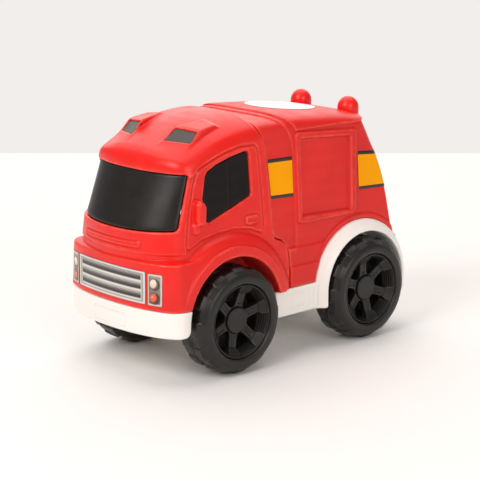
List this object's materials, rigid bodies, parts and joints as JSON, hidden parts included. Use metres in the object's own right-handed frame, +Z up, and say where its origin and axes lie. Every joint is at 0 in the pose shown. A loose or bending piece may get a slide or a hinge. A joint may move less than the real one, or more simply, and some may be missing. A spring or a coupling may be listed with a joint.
{
  "type": "toy fire truck",
  "caption": "Chunky moulded toddler's fire truck with a rounded cab and box body, wide lugged wheels on through axles, roof lamps and beacons.",
  "frame": {"origin": "on the floor under the centre of the bounding box", "axes": "+Z up, front of the truck towards -Y, the truck's left side towards +X"},
  "size_m": [0.1328, 0.245, 0.1765],
  "materials": {
    "red_plastic": "satin moulded polypropylene",
    "white_plastic": "satin moulded polypropylene",
    "black_plastic": "satin moulded polystyrene",
    "grey_plastic": "matt grey insert",
    "silver_label": "printed satin film",
    "orange_label": "printed satin film",
    "white_label": "printed satin film",
    "tyre_plastic": "satin soft moulding",
    "wheel_plastic": "matt moulded polypropylene",
    "axle_steel": "plated wire rod",
    "screw_steel": "zinc plated"
  },
  "bodies": {
    "chassis": {"chassis_pan": "white_plastic", "cab_shell": "red_plastic", "rear_body_shell": "red_plastic", "windscreen_insert": "black_plastic", "side_window_left": "black_plastic", "side_window_right": "black_plastic", "roof_lamp_lens_left": "grey_plastic", "roof_lamp_lens_right": "grey_plastic", "grille_label": "silver_label", "headlamp_label_left": "silver_label", "headlamp_label_right": "silver_label", "beacon_left": "red_plastic", "beacon_right": "red_plastic", "roof_roundel_label": "white_label", "stripe_label_front_left": "orange_label", "stripe_label_front_right": "orange_label", "stripe_label_rear_left": "orange_label", "stripe_label_rear_right": "orange_label", "front_axle_keeper": "white_plastic", "rear_axle_keeper": "white_plastic", "keeper_screw_1": "screw_steel", "keeper_screw_2": "screw_steel", "keeper_screw_3": "screw_steel", "keeper_screw_4": "screw_steel", "body_screw_1": "screw_steel", "body_screw_2": "screw_steel", "body_screw_3": "screw_steel", "body_screw_4": "screw_steel", "body_screw_5": "screw_steel", "body_screw_6": "screw_steel"},
    "front_axle_set": {"front_axle": "axle_steel", "tyre_front_left": "tyre_plastic", "wheel_front_left": "wheel_plastic", "hub_cap_front_left": "wheel_plastic", "tyre_front_right": "tyre_plastic", "wheel_front_right": "wheel_plastic", "hub_cap_front_right": "wheel_plastic"},
    "rear_axle_set": {"rear_axle": "axle_steel", "tyre_rear_left": "tyre_plastic", "wheel_rear_left": "wheel_plastic", "hub_cap_rear_left": "wheel_plastic", "tyre_rear_right": "tyre_plastic", "wheel_rear_right": "wheel_plastic", "hub_cap_rear_right": "wheel_plastic"}
  },
  "joints": [
    {"name": "front_axle_spin", "type": "hinge", "parent": "chassis", "child": "front_axle_set", "pos_m": [0, -0.0565, 0.038], "axis": [1, 0, 0], "continuous": true},
    {"name": "rear_axle_spin", "type": "hinge", "parent": "chassis", "child": "rear_axle_set", "pos_m": [0, 0.0728, 0.038], "axis": [1, 0, 0], "continuous": true}
  ]
}
